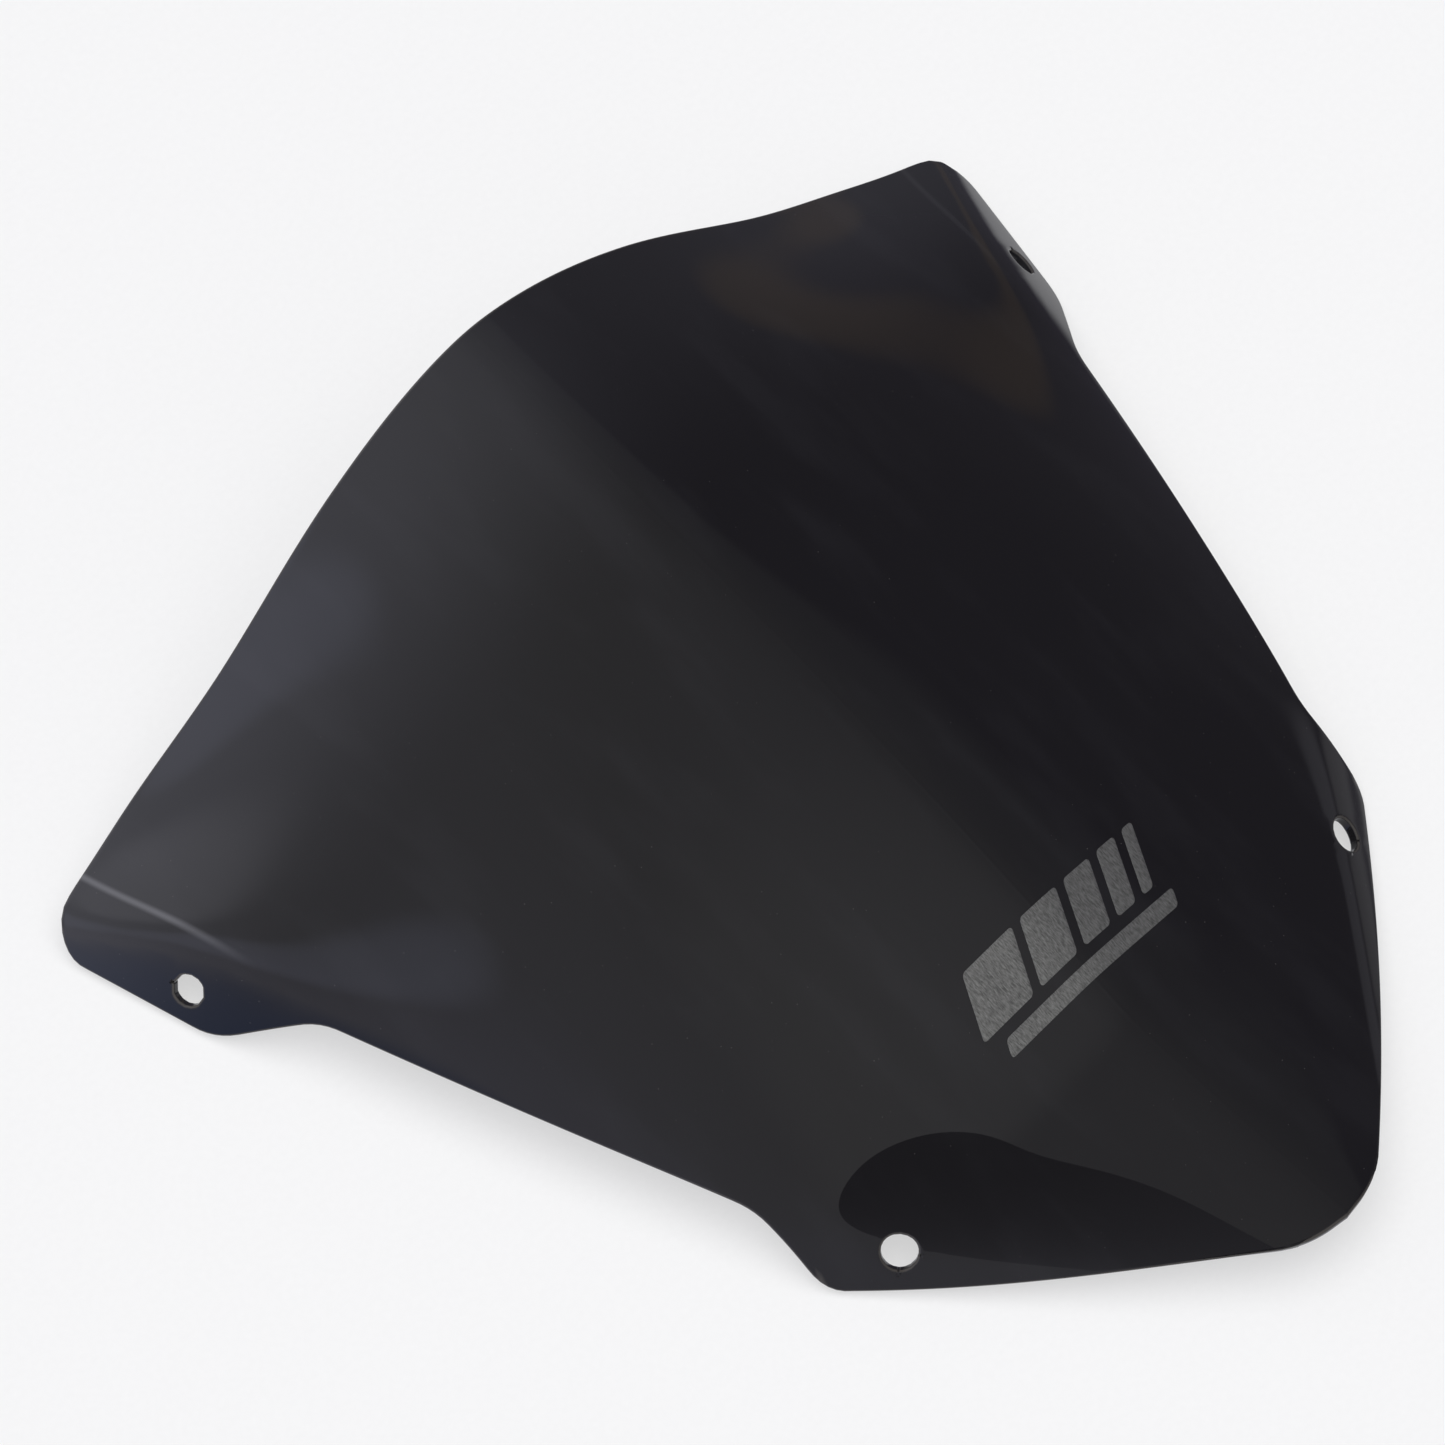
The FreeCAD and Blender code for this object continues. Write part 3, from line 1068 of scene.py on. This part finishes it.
@dataclass(frozen=True)
class Studio:
    """Camera, floor, soft lamp and a small dark card."""

    target: tuple[float, float, float] = (-0.0192, 0.0479, 0.045)
    azimuth: float = -137.19
    elevation: float = 59.734
    distance: float = 2.1402
    roll: float = 1.375
    lens: float = 199.3
    floor_size: float = 12.0
    floor_gap: float = 0.0003
    lamp_height: float = 3.0
    lamp_size: float = 4.0
    lamp_power: float = 75.0
    card_centre: tuple[float, float, float] = (-0.066, -0.124, 0.036)
    card_half_length: float = 0.062
    card_half_width: float = 0.038
    card_turn: float = -60.0
    card_sides: int = 96

    def camera(self) -> bpy.types.Object:
        """Place the camera; angles are seen from the target.

        Returns:
            The camera.
        """
        azimuth, elevation = math.radians(self.azimuth), math.radians(self.elevation)
        away = Vector((math.cos(azimuth) * math.cos(elevation),
                       math.sin(azimuth) * math.cos(elevation), math.sin(elevation)))
        turn = away.to_track_quat("Z", "Y").to_matrix().to_4x4()
        data = bpy.data.cameras.new("camera")
        data.lens = self.lens
        camera = bpy.data.objects.new("camera", data)
        camera.matrix_world = (Matrix.Translation(Vector(self.target) + away * self.distance)
                               @ turn @ Matrix.Rotation(math.radians(self.roll), 4, "Z"))
        bpy.context.scene.collection.objects.link(camera)
        bpy.context.scene.camera = camera
        return camera

    def floor(self) -> bpy.types.Object:
        """Lay the pale floor just under the screen; the gloss sees the room's table instead.

        Returns:
            The floor.
        """
        shape = bmesh.new()
        bmesh.ops.create_grid(shape, x_segments=2, y_segments=2, size=self.floor_size / 2)
        bmesh.ops.translate(shape, verts=shape.verts, vec=(0, 0, -self.floor_gap))
        floor = finished_object(shape, "floor", PaleFloor().make())
        floor.visible_glossy = False
        return floor

    def card(self) -> bpy.types.Object:
        """Hold a small dark oval card over the nose, which only the gloss sees.

        Returns:
            The card.
        """
        shape = bmesh.new()
        bmesh.ops.create_circle(shape, cap_ends=True, segments=self.card_sides, radius=1.0)
        bmesh.ops.scale(shape, verts=shape.verts,
                        vec=(self.card_half_length, self.card_half_width, 1.0))
        bmesh.ops.rotate(shape, verts=shape.verts,
                         matrix=Matrix.Rotation(math.radians(self.card_turn), 3, "Z"))
        bmesh.ops.translate(shape, verts=shape.verts, vec=self.card_centre)
        card = finished_object(shape, "nose_card", GreyCard().make())
        card.visible_camera = False
        card.visible_diffuse = False
        card.visible_shadow = False
        return card

    def lamp(self) -> bpy.types.Object:
        """Hang a broad soft lamp that whitens the floor and keeps out of the gloss.

        Returns:
            The lamp.
        """
        data = bpy.data.lights.new("ceiling_lamp", "AREA")
        data.shape = "DISK"
        data.size = self.lamp_size
        data.energy = self.lamp_power
        lamp = bpy.data.objects.new("ceiling_lamp", data)
        lamp.location = (0.0, 0.0, self.lamp_height)
        lamp.visible_glossy = False
        bpy.context.scene.collection.objects.link(lamp)
        return lamp


# ---- Putting it together ---------------------------------------------------------------------

def seating(sheet: bpy.types.Object, packed: tuple) -> Matrix:
    """Way from the surface's own frame, in mm, to the model's, in metres.

    Args:
        sheet: the sheet as built.
        packed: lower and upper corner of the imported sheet.

    Returns:
        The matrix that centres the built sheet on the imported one.
    """
    places = [vert.co for vert in sheet.data.vertices]
    ends = [(min(values), max(values)) for values in zip(*places)]
    centre = Vector([(low + high) / 2 for low, high in ends])
    target = (Vector(packed[0]) + Vector(packed[1])) / 2
    return Matrix.Translation(target) @ Matrix.Scale(MM, 4) @ Matrix.Translation(-centre)


def main(frame: dict) -> None:
    """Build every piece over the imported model, dress it and set the studio.
    """
    logging.basicConfig(level=logging.INFO)
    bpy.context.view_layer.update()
    surface = FormedSurface()
    sheet = ScreenSheet(surface, Outline()).build(SmokedAcrylic().make())
    pieces = {"screen": (sheet, Slot.ACRYLIC)}
    for node, foil in FoilMark(surface).build(SilverFoil().make()).items():
        pieces[node] = (foil, Slot.FOIL)
    seat = seating(sheet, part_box("screen"))
    for node, (piece, finish_slot) in pieces.items():
        piece.data.transform(seat)
        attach(piece, "root")
        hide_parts(node)
        LOG.info("%s: %d faces", piece.name, len(piece.data.polygons))
    studio = Studio()
    for item in (studio.camera(), studio.floor(), studio.card(), studio.lamp()):
        LOG.info("studio: %s", item.name)
    bpy.context.scene.world = Room().make()
    bpy.context.scene.view_settings.view_transform = "Standard"


if __name__ == "__main__":
    main(frame)
